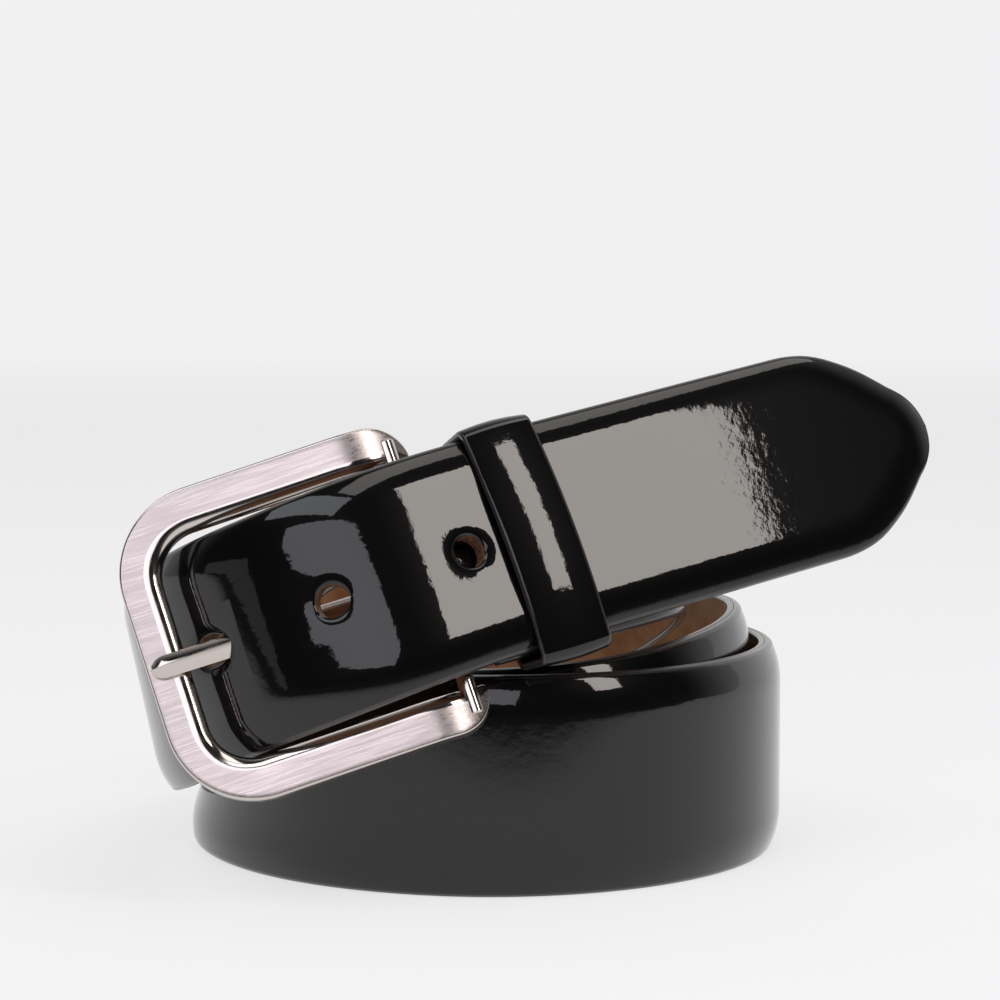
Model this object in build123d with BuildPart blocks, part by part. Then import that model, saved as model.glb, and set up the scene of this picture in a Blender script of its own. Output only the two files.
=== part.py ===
from build123d import *
import math
import os

# A 35 mm leather dress belt, buckled and rolled up. Millimetres, +Z up, standing on the
# lower edges of its turns. The belt winds anticlockwise seen from above, from the buckle
# end inside the roll to the tail, which crosses the front and points to +X.

# Strap
STRAP_WIDTH = 35.0
LINING_THICKNESS = 1.1
FILLER_THICKNESS = 1.25
FACE_THICKNESS = 1.35
GLUE_LINE = 0.05
EDGE_THICKNESS = 2.1
CROWN_HALF_WIDTH = 10.5
SHOULDER_HALF_WIDTH = 15.3
SHOULDER_RISE = 0.75
FILLER_HALF_WIDTH = 14.8
SECTION_STEP = 1 / 3

# Holes and tail point
HOLE_DIAMETER = 5.3
HOLE_SPACING = 22.8
HOLE_COUNT = 3
TIP_TAPER = 19.5
TIP_SHOULDER = (15.5, 16.4)
TIP_CHEEK = (9.0, 12.5)
TIP_NOSE = (4.2, 8.0)

# Buckle
BUCKLE_WIDTH = 50.8
BUCKLE_SHIFT = -1.2
FRAME_THICKNESS = 3.6
FRAME_BACK = 0.1
FRONT_BAR_OUTER = 46.2
FRONT_BAR_WIDTH = 6.4
ARM_WIDTH = 6.9
FRAME_CORNER = 14.0
OPENING_CORNER = 7.0
ARM_END_CORNER = 6.0
ARM_BEND = 8.0
HEEL_END = 3.0
HEEL_DROP = 1.4
HEEL_BACK = 2.8
HEEL_CORNER = 1.5
INNER_BEVEL = 2.3
INNER_BEVEL_DEPTH = 1.6
BACK_BEVEL = 1.5
BACK_BEVEL_END = 20.0
BAR_RADIUS = 1.5
BAR_INSET = 2.6
PRONG_WIDTH = 3.6
PRONG_THICKNESS = 2.2
PRONG_END = 45.6
PRONG_NOSE = 3.2
PRONG_NOSE_DROP = 1.3
PRONG_WALL = 1.4
PRONG_CORNER = 1.2
PRONG_SHIFT = -0.9
RUNNING_CLEARANCE = 0.08
REST_GAP = 0.05
PRONG_ROOM = 0.35
PRONG_ROOM_START = 23.0
PRONG_ROOM_END = 38.5
PRONG_ROOM_ANGLE = 5.5

# Fold, keeper and stitching
FOLD_WIDTH = 33.0
FOLD_LENGTH = 6.0
SLOT_WIDTH = 6.4
SLOT_LENGTH = 8.4
BAR_OFFSET = 1.2
TURNBACK_END_U = 5.3
TURNBACK_SLACK = 0.7
KEEPER_WIDTH = 12.3
KEEPER_WALL = 1.6
KEEPER_LOW_FRONT = -19.4
KEEPER_LOW_BACK = -18.2
KEEPER_HIGH = 17.7
KEEPER_BACK = -4.85
KEEPER_EDGE_FRONT = 2.9
KEEPER_CROWN_FRONT = 4.6
KEEPER_CORNER = 0.9
KEEPER_ROOM = (0.95, 1.3, 2.9, 3.5)
STAPLE_LENGTH = 8.0
STAPLE_WIRE = 0.7
STITCH_ROWS = (3.9, 4.9)
STITCHES_PER_ROW = 7
STITCH_PITCH = 3.2
STITCH_LENGTH = 2.4
STITCH_RADIUS = 0.35

# The coil's axis in the part's frame, which is centred on the whole belt's box
AXIS = Vector(-9.1, 2.37, 0)

# The top ring of the belt lies in one sloping plane
RING_UP = Vector(-0.37, 0.275, 1.0)
RING_HEIGHT = 41.46
STATION_ANGLE = 30.0
TURN_SHIFT = 2.0

HALF_WIDTH = STRAP_WIDTH / 2
THICKNESS = LINING_THICKNESS + FILLER_THICKNESS + FACE_THICKNESS + 2 * GLUE_LINE


def turn(angle, radius, height, tilt=0.0):
    """A station on the coil's lower turns, by angle and radius. The factor on the radius makes
    the smooth curve, which runs inside its stations, pass at that radius."""
    reach = radius * 3 / (2 + math.cos(math.radians(STATION_ANGLE)))
    a = math.radians(angle)
    return Vector(reach * math.cos(a), reach * math.sin(a) + TURN_SHIFT, height), tilt


def ring(x, y, lift=0.0, tilt=1.0):
    """A station on the sloping top ring, lift above its plane."""
    return Vector(x, y, RING_HEIGHT + lift - RING_UP.X * x - RING_UP.Y * y), tilt


# The strap's route, from the heel bar to beyond the tip: the middle of its lining side,
# and how far its width leans from upright (0) to square with the sloping ring (1).
STATIONS = [
    # buckle end, behind the tail, and its tight bend at the right
    ring(-15.8, -49.2, 0.2), ring(-8.3, -46.2, 0.1), ring(-0.8, -43.0, -0.1),
    ring(7.2, -39.2, -0.3), ring(15.2, -34.9, -0.5), ring(21.8, -30.0, -0.5),
    ring(26.0, -22.8, 0.4), ring(27.4, -13.6, 1.2), ring(27.0, -3.8, 1.2),
    ring(24.8, 6.0, 1.2, 0.97), ring(20.2, 15.5, 1.4, 0.93), ring(13.2, 24.0, 1.2, 0.87),
    # inner turn, down to the floor
    turn(94, 29.3, 31.0, 0.6), turn(123, 31.0, 26.0, 0.25), turn(152, 31.8, 21.8, -0.15),
    turn(182, 32.4, 19.3, -0.4), turn(212, 34.6, 18.2, -0.3), turn(242, 39.2, 17.8, -0.1),
    # middle turn, raised a little at the right
    turn(271, 43.3, 17.7), turn(301, 43.8, 19.1), turn(331, 43.3, 22.0),
    turn(361, 42.8, 24.0), turn(391, 43.2, 23.2), turn(421, 43.8, 20.9),
    turn(451, 44.2, 18.7), turn(481, 43.6, 17.7, -0.25), turn(511, 41.3, 17.2, -0.75),
    turn(541, 40.3, 17.1, -1.0), turn(571, 42.4, 17.4, -0.8), turn(601, 46.4, 17.65, -0.2),
    # outer turn, upright on the floor round the front and the right
    turn(631, 48.2, 17.6, 0.15), turn(661, 48.3, 17.5), turn(691, 48.3, 17.5),
    turn(721, 48.3, 17.5), turn(751, 48.4, 17.5), turn(781, 49.2, 17.6, 0.03),
    turn(811, 51.4, 18.2, 0.15), turn(839, 54.2, 20.6, 0.28), turn(866, 55.9, 24.0, 0.42),
    ring(-53.0, -9.0, 3.8, 0.5), ring(-51.0, -23.2, 1.3, 0.75), ring(-46.9, -37.2, -0.1),
    # under the front bar, over the heel bar and through the keeper
    ring(-39.2, -48.6, -0.9), ring(-29.9, -54.6, -1.6), ring(-20.6, -57.2, -1.8),
    ring(-11.0, -54.7, -1.1), ring(-1.8, -48.6, -0.25), ring(7.6, -43.4), ring(17.6, -38.3),
    # straight tail
    ring(28.2, -32.9), ring(39.2, -27.3), ring(51.2, -21.1), ring(64.2, -14.5),
    ring(78.2, -7.3), ring(93.2, 0.4),
]

# Where the strap's stretches begin and end, counted in stations along the route
BAR_U = 0.1
BUCKLE_END_U = 0.85
INNER_TURN_U = 6.5
MIDDLE_TURN_U = 17.5
OUTER_TURN_U = 29.5
FRONT_BAR_U = 40.2
HEEL_BAR_U = 44.2
HOLE_1_U = 44.98
KEEPER_U = 46.05
TAIL_U = 46.75
TAIL_END_U = 51.71
TAIL_GAP_U = 0.03

# A point on the front bar's centre line, from the coil's axis
FRONT_BAR_AIM = Vector(-46.0, -49.6, 38.1)


def route(u):
    """The route's point, direction and upward lean at u stations along."""
    first = min(int(u), len(STATIONS) - 4)
    t = u - first
    weights = (
        (1 - t) ** 3 / 6,
        (3 * t**3 - 6 * t**2 + 4) / 6,
        (-3 * t**3 + 3 * t**2 + 3 * t + 1) / 6,
        t**3 / 6,
    )
    rates = (
        -((1 - t) ** 2) / 2,
        (9 * t**2 - 12 * t) / 6,
        (-9 * t**2 + 6 * t + 3) / 6,
        t**2 / 2,
    )
    point = Vector(AXIS)
    direction = Vector(0, 0, 0)
    tilt = 0.0
    for (place, lean), weight, rate in zip(STATIONS[first:first + 4], weights, rates):
        point += place * weight
        direction += place * rate
        tilt += lean * weight
    up = Vector(0, 0, 1) * (1 - tilt) + RING_UP * tilt
    return point, direction.normalized(), up


def strap_plane(u):
    """The strap's cross-section plane: x across the width, y out of the face side."""
    point, along, up = route(u)
    across = (up - along * along.dot(up)).normalized()
    return Plane(origin=point, x_dir=across, z_dir=along)


def travel(u, distance):
    """The route's parameter a distance further along the middle of the strap's thickness."""
    step = math.copysign(0.01, distance)
    covered = 0.0
    last = strap_plane(u).from_local_coords((0, THICKNESS / 2))
    while covered < abs(distance):
        u += step
        point = strap_plane(u).from_local_coords((0, THICKNESS / 2))
        covered += (point - last).length
        last = point
    return u


def mirrored(points):
    """A symmetric outline from the points of its right half, lowest first."""
    return points + [(-x, y) for x, y in reversed(points)]


FILLER_BASE = LINING_THICKNESS + GLUE_LINE
FILLER_TOP = FILLER_BASE + FILLER_THICKNESS
LINING_OUTLINE = mirrored([(HALF_WIDTH, 0), (HALF_WIDTH, LINING_THICKNESS)])
FILLER_OUTLINE = mirrored([(FILLER_HALF_WIDTH, FILLER_BASE), (CROWN_HALF_WIDTH, FILLER_TOP)])
FACE_OUTLINE = mirrored([
    (CROWN_HALF_WIDTH, FILLER_TOP + GLUE_LINE),
    (FILLER_HALF_WIDTH + 3 * GLUE_LINE, FILLER_BASE),
    (HALF_WIDTH, FILLER_BASE),
    (HALF_WIDTH, EDGE_THICKNESS),
    (SHOULDER_HALF_WIDTH, EDGE_THICKNESS + SHOULDER_RISE),
    (CROWN_HALF_WIDTH, THICKNESS),
])


def layer(outline, start, end):
    """One layer of the strap between two places on the route. outline(u) gives its section."""
    count = math.ceil((end - start) / SECTION_STEP)
    with BuildPart() as solid:
        for i in range(count + 1):
            u = start + (end - start) * i / count
            with BuildSketch(strap_plane(u)):
                with BuildLine():
                    Polyline(*outline(u), close=True)
                make_face()
        loft(ruled=True)
    return solid


def save(builder, name):
    builder.part.label = name
    export_step(builder.part, f"parts/{name}.step")


os.makedirs("parts", exist_ok=True)

# Frames of the buckle: x from the front bar towards the tail, y up the heel bar, z outwards
bar_section = strap_plane(BAR_U)
bar_centre = bar_section.from_local_coords((0, BAR_OFFSET))
bar_up = bar_section.x_dir
to_front = AXIS + FRONT_BAR_AIM - bar_centre
buckle_x = (bar_up * bar_up.dot(to_front) - to_front).normalized()
buckle_middle = bar_centre + bar_up * BUCKLE_SHIFT
buckle_plane = Plane(origin=buckle_middle, x_dir=buckle_x, z_dir=buckle_x.cross(bar_up))
buckle_side = Plane(origin=buckle_middle, x_dir=buckle_x, z_dir=-bar_up)
bar_plane = Plane(origin=buckle_middle, x_dir=buckle_x, z_dir=bar_up)

# Places of the holes: the first is nearest the tip, and the prong stands in the third
hole_places = [travel(HOLE_1_U, -HOLE_SPACING * i) for i in range(HOLE_COUNT)]


def hole_plane(u):
    """A plane on the lining side, looking out through the strap."""
    section = strap_plane(u)
    return Plane(origin=section.origin, x_dir=section.x_dir, z_dir=section.y_dir)


with BuildPart() as hole_cutters:
    for place in hole_places:
        with Locations(hole_plane(place).location):
            Cylinder(HOLE_DIAMETER / 2, 4 * THICKNESS)

# The prong rests on the front bar's inner edge, so it points out a little from the heel bar
frame_front = FRAME_BACK + FRAME_THICKNESS
prong_rise = frame_front + 2 * REST_GAP + PRONG_THICKNESS / 2
prong_tilt = math.atan2(prong_rise, FRONT_BAR_OUTER - FRONT_BAR_WIDTH + INNER_BEVEL)
prong_x = buckle_x * math.cos(prong_tilt) - buckle_plane.z_dir * math.sin(prong_tilt)
prong_middle = buckle_middle + bar_up * PRONG_SHIFT
prong_side = Plane(origin=prong_middle, x_dir=prong_x, z_dir=-bar_up)

# The stretched hole that lets the prong come up through the strap at a slant, and lift
room_half = PRONG_THICKNESS / 2 + PRONG_ROOM
room_slope = math.tan(math.radians(PRONG_ROOM_ANGLE))
with BuildPart() as prong_room:
    with BuildSketch(prong_side):
        with BuildLine():
            Polyline(
                (-PRONG_ROOM_START, -room_half),
                (-PRONG_ROOM_END, -room_half),
                (-PRONG_ROOM_END, room_half + PRONG_ROOM_END * room_slope),
                (-PRONG_ROOM_START, room_half + PRONG_ROOM_START * room_slope),
                close=True,
            )
        make_face()
    extrude(amount=PRONG_WIDTH / 2 + PRONG_ROOM, both=True)

# The tail's point, cut through all its layers
tip_section = strap_plane(TAIL_END_U)
tip_plane = Plane(origin=tip_section.origin, x_dir=tip_section.z_dir, z_dir=tip_section.y_dir)
full_half = HALF_WIDTH + GLUE_LINE
tip_side = [TIP_NOSE, TIP_CHEEK, TIP_SHOULDER, (TIP_TAPER, full_half), (4 * TIP_TAPER, full_half)]
upper_side = [(-back, half) for back, half in tip_side]
lower_side = [(-back, -half) for back, half in reversed(tip_side)]

with BuildPart() as tip_cutter:
    with BuildSketch(tip_plane.offset(-THICKNESS)):
        Rectangle(4 * TIP_TAPER, 2 * STRAP_WIDTH)
        with BuildLine():
            Polyline(*upper_side, *lower_side)
            ThreePointArc(lower_side[-1], (0, 0), upper_side[0])
        make_face(mode=Mode.SUBTRACT)
    extrude(amount=4 * THICKNESS)

# The three layers of the strap, stretch by stretch
STRETCHES = {
    "buckle_end": (BUCKLE_END_U, INNER_TURN_U),
    "inner_turn": (INNER_TURN_U, MIDDLE_TURN_U),
    "middle_turn": (MIDDLE_TURN_U, OUTER_TURN_U),
    "outer_turn": (OUTER_TURN_U, FRONT_BAR_U),
    "prong_run": (FRONT_BAR_U, HEEL_BAR_U),
    "keeper_run": (HEEL_BAR_U, TAIL_U),
    "tail": (TAIL_U + TAIL_GAP_U, TAIL_END_U),
}
PUNCHED = ("outer_turn", "prong_run", "keeper_run")
LAYERS = {"lining": LINING_OUTLINE, "filler": FILLER_OUTLINE, "face": FACE_OUTLINE}
for stretch, (start, end) in STRETCHES.items():
    for material, outline in LAYERS.items():
        strip = layer(lambda u: outline, start, end)
        with BuildPart() as finished:
            add(strip.part)
            if stretch in PUNCHED:
                add(hole_cutters.part, mode=Mode.SUBTRACT)
            if stretch == "prong_run":
                add(prong_room.part, mode=Mode.SUBTRACT)
            if stretch == "tail":
                add(tip_cutter.part, mode=Mode.SUBTRACT)
        save(finished, f"{material}_{stretch}")

# The strap's end folds round the heel bar, with a slot for the prong
fold_plane = Plane(origin=bar_centre, x_dir=bar_section.z_dir, z_dir=-bar_up)
leg_outer = THICKNESS - BAR_OFFSET
leg_inner = leg_outer - FACE_THICKNESS
fold_inner = BAR_RADIUS + RUNNING_CLEARANCE
fold_outer = fold_inner + FACE_THICKNESS

with BuildPart() as strap_fold:
    with BuildSketch(fold_plane):
        with BuildLine():
            Line((FOLD_LENGTH, leg_outer), (0, fold_outer))
            ThreePointArc((0, fold_outer), (-fold_outer, 0), (0, -fold_outer))
            Line((0, -fold_outer), (FOLD_LENGTH, -leg_outer))
            Line((FOLD_LENGTH, -leg_outer), (FOLD_LENGTH, -leg_inner))
            Line((FOLD_LENGTH, -leg_inner), (0, -fold_inner))
            ThreePointArc((0, -fold_inner), (-fold_inner, 0), (0, fold_inner))
            Line((0, fold_inner), (FOLD_LENGTH, leg_inner))
            Line((FOLD_LENGTH, leg_inner), (FOLD_LENGTH, leg_outer))
        make_face()
    extrude(amount=FOLD_WIDTH / 2, both=True)
    with Locations(buckle_plane.location):
        Box(SLOT_LENGTH, SLOT_WIDTH, 4 * fold_outer, mode=Mode.SUBTRACT)
save(strap_fold, "strap_fold")

# The turned-back end, which runs behind the lining and steps over the keeper's back
keeper_depth = KEEPER_WALL + STAPLE_WIRE + TURNBACK_SLACK


def smooth_step(value, low, high):
    """0 below low, 1 above high, and a smooth rise between."""
    t = min(max((value - low) / (high - low), 0), 1)
    return t * t * (3 - 2 * t)


def turnback_outline(u):
    """The turned-back end's section."""
    rise_start, rise_end, fall_start, fall_end = KEEPER_ROOM
    step = smooth_step(u, rise_start, rise_end) - smooth_step(u, fall_start, fall_end)
    top = -GLUE_LINE - step * keeper_depth
    return mirrored([(FOLD_WIDTH / 2, top - FACE_THICKNESS), (FOLD_WIDTH / 2, top)])


save(layer(turnback_outline, BUCKLE_END_U, TURNBACK_END_U), "strap_turnback")

# Rows of stitches that hold it, as they show on the strap's face and on the turned-back end
stitch_spread = (STITCHES_PER_ROW - 1) / 2 * STITCH_PITCH
stitch_faces = (
    THICKNESS + GLUE_LINE + STITCH_RADIUS,
    -FACE_THICKNESS - 3 * GLUE_LINE - STITCH_RADIUS,
)
with BuildPart() as turnback_stitches:
    for row in STITCH_ROWS:
        section = strap_plane(row)
        for height in stitch_faces:
            for i in range(STITCHES_PER_ROW):
                middle = section.from_local_coords((i * STITCH_PITCH - stitch_spread, height))
                stitch = Plane(origin=middle, x_dir=section.z_dir, z_dir=section.x_dir)
                with Locations(stitch.location):
                    Cylinder(STITCH_RADIUS, STITCH_LENGTH)
save(turnback_stitches, "turnback_stitches")

# Keeper: a crowned leather loop round the buckle end and the tail, closed by a staple
keeper_plane = strap_plane(KEEPER_U)
keeper_middle = (KEEPER_LOW_FRONT + KEEPER_HIGH) / 2

with BuildPart() as keeper:
    with BuildSketch(keeper_plane) as keeper_ring:
        with BuildLine():
            Line((KEEPER_LOW_FRONT, KEEPER_EDGE_FRONT), (KEEPER_LOW_BACK, KEEPER_BACK))
            Line((KEEPER_LOW_BACK, KEEPER_BACK), (KEEPER_HIGH, KEEPER_BACK))
            Line((KEEPER_HIGH, KEEPER_BACK), (KEEPER_HIGH, KEEPER_EDGE_FRONT))
            ThreePointArc(
                (KEEPER_HIGH, KEEPER_EDGE_FRONT),
                (keeper_middle, KEEPER_CROWN_FRONT),
                (KEEPER_LOW_FRONT, KEEPER_EDGE_FRONT),
            )
        make_face()
        fillet(keeper_ring.vertices(), KEEPER_CORNER)
        inside = keeper_ring.sketch_local.face()
        offset(amount=KEEPER_WALL)
        add(inside, mode=Mode.SUBTRACT)
    extrude(amount=KEEPER_WIDTH / 2, both=True)
save(keeper, "keeper")

staple_depth = KEEPER_BACK - KEEPER_WALL - GLUE_LINE - STAPLE_WIRE / 2
staple_middle = keeper_plane.from_local_coords((keeper_middle, staple_depth))
staple_plane = Plane(origin=staple_middle, x_dir=keeper_plane.x_dir, z_dir=keeper_plane.z_dir)
with BuildPart() as keeper_staple:
    with Locations(staple_plane.location):
        Box(STAPLE_LENGTH, STAPLE_WIRE, STAPLE_WIRE)
save(keeper_staple, "keeper_staple")

# Buckle frame: a flat plate that bends back at its heel, and is open between its arms
bar_length = BUCKLE_WIDTH - 2 * BAR_INSET
frame_length = FRONT_BAR_OUTER + HEEL_END
opening_width = BUCKLE_WIDTH - 2 * ARM_WIDTH
opening_length = 2 * FRONT_BAR_OUTER
opening_middle = FRONT_BAR_WIDTH - FRONT_BAR_OUTER + opening_length / 2
back_origin = buckle_plane.from_local_coords((0, 0, FRAME_BACK + BACK_BEVEL))
back_bevel_length = FRONT_BAR_OUTER - FRONT_BAR_WIDTH - BACK_BEVEL_END
back_bevel_middle = -BACK_BEVEL_END - back_bevel_length / 2
bevel_taper = math.degrees(math.atan2(INNER_BEVEL, INNER_BEVEL_DEPTH))

with BuildPart() as buckle_frame:
    with BuildSketch(buckle_side) as side_profile:
        with BuildLine():
            Line((-FRONT_BAR_OUTER, FRAME_BACK), (-FRONT_BAR_OUTER, frame_front))
            Line((-FRONT_BAR_OUTER, frame_front), (-ARM_BEND, frame_front))
            TangentArc((-ARM_BEND, frame_front), (HEEL_END, -HEEL_DROP), tangent=(1, 0))
            Line((HEEL_END, -HEEL_DROP), (HEEL_CORNER, -HEEL_BACK))
            Line((HEEL_CORNER, -HEEL_BACK), (-HEEL_CORNER, -HEEL_BACK))
            Line((-HEEL_CORNER, -HEEL_BACK), (-ARM_BEND, FRAME_BACK))
            Line((-ARM_BEND, FRAME_BACK), (-FRONT_BAR_OUTER, FRAME_BACK))
        make_face()
    extrude(amount=BUCKLE_WIDTH / 2, both=True)
    with BuildSketch(buckle_plane) as frame_outline:
        with Locations(((HEEL_END - FRONT_BAR_OUTER) / 2, 0)):
            Rectangle(frame_length, BUCKLE_WIDTH)
        fillet(frame_outline.vertices().group_by(Axis.X)[0], FRAME_CORNER)
        fillet(frame_outline.vertices().sort_by(Axis.X)[-2:], ARM_END_CORNER)
    extrude(amount=BUCKLE_WIDTH / 2, both=True, mode=Mode.INTERSECT)
    with BuildSketch(buckle_plane):
        with Locations((opening_middle, 0)):
            RectangleRounded(opening_length, opening_width, OPENING_CORNER)
    extrude(amount=BUCKLE_WIDTH / 2, both=True, mode=Mode.SUBTRACT)
    with BuildSketch(buckle_plane.offset(frame_front - INNER_BEVEL_DEPTH)):
        with Locations((opening_middle, 0)):
            RectangleRounded(opening_length, opening_width, OPENING_CORNER)
    extrude(amount=2 * INNER_BEVEL_DEPTH, taper=-bevel_taper, mode=Mode.SUBTRACT)
    with BuildSketch(Plane(origin=back_origin, x_dir=buckle_x, z_dir=-buckle_plane.z_dir)):
        with Locations((back_bevel_middle, 0)):
            RectangleRounded(back_bevel_length, opening_width, OPENING_CORNER)
    extrude(amount=BACK_BEVEL, taper=-45, mode=Mode.SUBTRACT)
    with Locations(bar_plane.location):
        Cylinder(BAR_RADIUS, bar_length, mode=Mode.SUBTRACT)
save(buckle_frame, "buckle_frame")

with BuildPart() as heel_bar:
    with Locations(bar_plane.location):
        Cylinder(BAR_RADIUS, bar_length)
save(heel_bar, "heel_bar")

# Prong: a loop that turns on the heel bar, and a flat shank with a sloping nose
prong_half = PRONG_THICKNESS / 2
with BuildPart() as prong:
    with BuildSketch(prong_side):
        with BuildLine():
            Polyline(
                (0, -prong_half),
                (0, prong_half),
                (-PRONG_END + PRONG_NOSE, prong_half),
                (-PRONG_END, prong_half - PRONG_NOSE_DROP),
                (-PRONG_END, -prong_half),
                close=True,
            )
        make_face()
        Circle(BAR_RADIUS + RUNNING_CLEARANCE + PRONG_WALL)
        Circle(BAR_RADIUS + RUNNING_CLEARANCE, mode=Mode.SUBTRACT)
    extrude(amount=PRONG_WIDTH / 2, both=True)
    upright_edges = prong.edges().filter_by(Axis((0, 0, 0), prong_side.y_dir))
    fillet(upright_edges.sort_by(Axis(buckle_middle, buckle_x))[:2], PRONG_CORNER)
save(prong, "prong")
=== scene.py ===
import bpy
import math
import numpy as np
from mathutils import Matrix, Vector


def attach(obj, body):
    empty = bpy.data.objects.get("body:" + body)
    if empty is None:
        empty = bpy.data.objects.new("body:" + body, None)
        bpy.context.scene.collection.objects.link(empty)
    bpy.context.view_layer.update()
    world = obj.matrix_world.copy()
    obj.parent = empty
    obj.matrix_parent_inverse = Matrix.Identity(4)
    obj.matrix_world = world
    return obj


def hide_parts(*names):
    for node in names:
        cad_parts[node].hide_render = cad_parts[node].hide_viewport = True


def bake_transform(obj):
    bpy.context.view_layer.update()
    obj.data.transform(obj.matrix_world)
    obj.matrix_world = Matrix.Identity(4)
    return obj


# A leather dress belt, buckled and rolled up. Lengths are in millimetres until a mesh or an
# object is made, and in metres from there on.
MM = 0.001

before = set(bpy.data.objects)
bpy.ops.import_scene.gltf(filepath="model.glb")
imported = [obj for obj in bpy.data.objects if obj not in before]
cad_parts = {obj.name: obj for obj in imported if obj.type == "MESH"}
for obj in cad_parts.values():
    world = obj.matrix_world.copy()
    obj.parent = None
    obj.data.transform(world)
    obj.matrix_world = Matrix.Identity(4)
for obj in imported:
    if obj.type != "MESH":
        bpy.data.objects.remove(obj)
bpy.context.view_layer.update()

# ---------------------------------------------------------------- the design's dimensions

STRAP_HALF = 17.5
THICKNESS = 3.8
SEAM = 1.1
SEAM_GAP = 0.03
EDGE_THICKNESS = 2.1
CROWN_START = 7.0
FOLD_HALF = 16.5
SHEET = 1.35
CROWN_POWER = 2.2

HOLE_RADIUS = 2.65
HOLE_SPACING = 22.8
HOLE_COUNT = 3

AXIS = np.array([-9.1, 2.37, 0.0])
RING_UP = np.array([-0.37, 0.275, 1.0])
RING_HEIGHT = 41.46
STATION_ANGLE = 30.0
TURN_SHIFT = 2.0

BAR_U = 0.1
BUCKLE_END_U = 0.82
HOLE_1_U = 44.98
KEEPER_U = 46.05
SEAM_U = 46.2
TAIL_END_U = 51.71
BAR_OFFSET = 1.2
BUCKLE_SHIFT = -1.2
FRONT_BAR_AIM = np.array([-46.0, -49.6, 38.1])
PRONG_SHIFT = -0.9
PRONG_RISE = 4.9
PRONG_REST = 42.1


def turn(angle, radius, height, tilt=0.0):
    """A station on the coil's lower turns, by angle and radius."""
    a = math.radians(angle)
    reach = radius * 3 / (2 + math.cos(math.radians(STATION_ANGLE)))
    return reach * math.cos(a), reach * math.sin(a) + TURN_SHIFT, height, tilt


def ring(x, y, lift=0.0, tilt=1.0):
    """A station on the sloping top ring, lift above its plane."""
    return x, y, RING_HEIGHT + lift - RING_UP[0] * x - RING_UP[1] * y, tilt


# The strap's route as the CAD model has it, but for the end of the tail, which bends back a
# little
STATIONS = np.array([
    # buckle end, behind the tail, and its tight bend at the right
    ring(-15.8, -49.2, 0.2), ring(-8.3, -46.2, 0.1), ring(-0.8, -43.0, -0.1),
    ring(7.2, -39.2, -0.3), ring(15.2, -34.9, -0.5), ring(21.8, -30.0, -0.5),
    ring(26.0, -22.8, 0.4), ring(27.4, -13.6, 1.2), ring(27.0, -3.8, 1.2),
    ring(24.8, 6.0, 1.2, 0.97), ring(20.2, 15.5, 1.4, 0.93), ring(13.2, 24.0, 1.2, 0.87),
    # inner turn, down to the floor
    turn(94, 29.3, 31.0, 0.6), turn(123, 31.0, 26.0, 0.25), turn(152, 31.8, 21.8, -0.15),
    turn(182, 32.4, 19.3, -0.4), turn(212, 34.6, 18.2, -0.3), turn(242, 39.2, 17.8, -0.1),
    # middle turn, raised a little at the right
    turn(271, 43.3, 17.7), turn(301, 43.8, 19.1), turn(331, 43.3, 22.0),
    turn(361, 42.8, 24.0), turn(391, 43.2, 23.2), turn(421, 43.8, 20.9),
    turn(451, 44.2, 18.7), turn(481, 43.6, 17.7, -0.25), turn(511, 41.3, 17.2, -0.75),
    turn(541, 40.3, 17.1, -1.0), turn(571, 42.4, 17.4, -0.8), turn(601, 46.4, 17.65, -0.2),
    # outer turn, upright on the floor round the front and the right
    turn(631, 48.2, 17.6, 0.15), turn(661, 48.3, 17.5), turn(691, 48.3, 17.5),
    turn(721, 48.3, 17.5), turn(751, 48.4, 17.5), turn(781, 49.2, 17.6, 0.03),
    turn(811, 51.4, 18.2, 0.15), turn(839, 54.2, 20.6, 0.28), turn(866, 55.9, 24.0, 0.42),
    ring(-53.0, -9.0, 3.8, 0.5), ring(-51.0, -23.2, 1.3, 0.75), ring(-46.9, -37.2, -0.1),
    # under the front bar, over the heel bar and through the keeper
    ring(-39.2, -48.6, -0.9), ring(-29.9, -54.6, -1.6), ring(-20.6, -57.2, -1.8),
    ring(-11.0, -54.7, -1.1), ring(-1.8, -48.6, -0.25), ring(7.6, -43.4), ring(17.6, -38.3),
    # straight tail
    ring(28.2, -32.9), ring(39.2, -27.3), ring(51.2, -21.1), ring(64.2, -14.35),
    ring(78.2, -6.9), ring(93.2, 1.3),
])


def unit(vectors):
    return vectors / np.linalg.norm(vectors, axis=-1, keepdims=True)


def sections(u):
    """The strap's cross-sections at the places u: origins, and unit vectors across its width,
    out of its face, and along it towards the tip."""
    u = np.atleast_1d(np.asarray(u, float))
    first = np.clip(u.astype(int), 0, len(STATIONS) - 4)
    t = (u - first)[:, None]
    weights = (1 - t) ** 3, 3 * t**3 - 6 * t**2 + 4, -3 * t**3 + 3 * t**2 + 3 * t + 1, t**3
    rates = -((1 - t) ** 2), 3 * t**2 - 4 * t, -3 * t**2 + 2 * t + 1, t**2
    place = sum(STATIONS[first + i] * w / 6 for i, w in enumerate(weights))
    along = unit(sum(STATIONS[first + i, :3] * r / 2 for i, r in enumerate(rates)))
    tilt = place[:, 3:]
    up = np.array([0, 0, 1.0]) * (1 - tilt) + RING_UP * tilt
    across = unit(up - along * np.sum(along * up, axis=1, keepdims=True))
    return place[:, :3] + AXIS, across, np.cross(along, across), along


def strap_points(u, v, n):
    """Points of the strap at the places u, v across its width and n out of its lining."""
    origin, across, out, _ = sections(u)
    return origin + across * np.asarray(v)[:, None] + out * np.asarray(n)[:, None]


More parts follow.
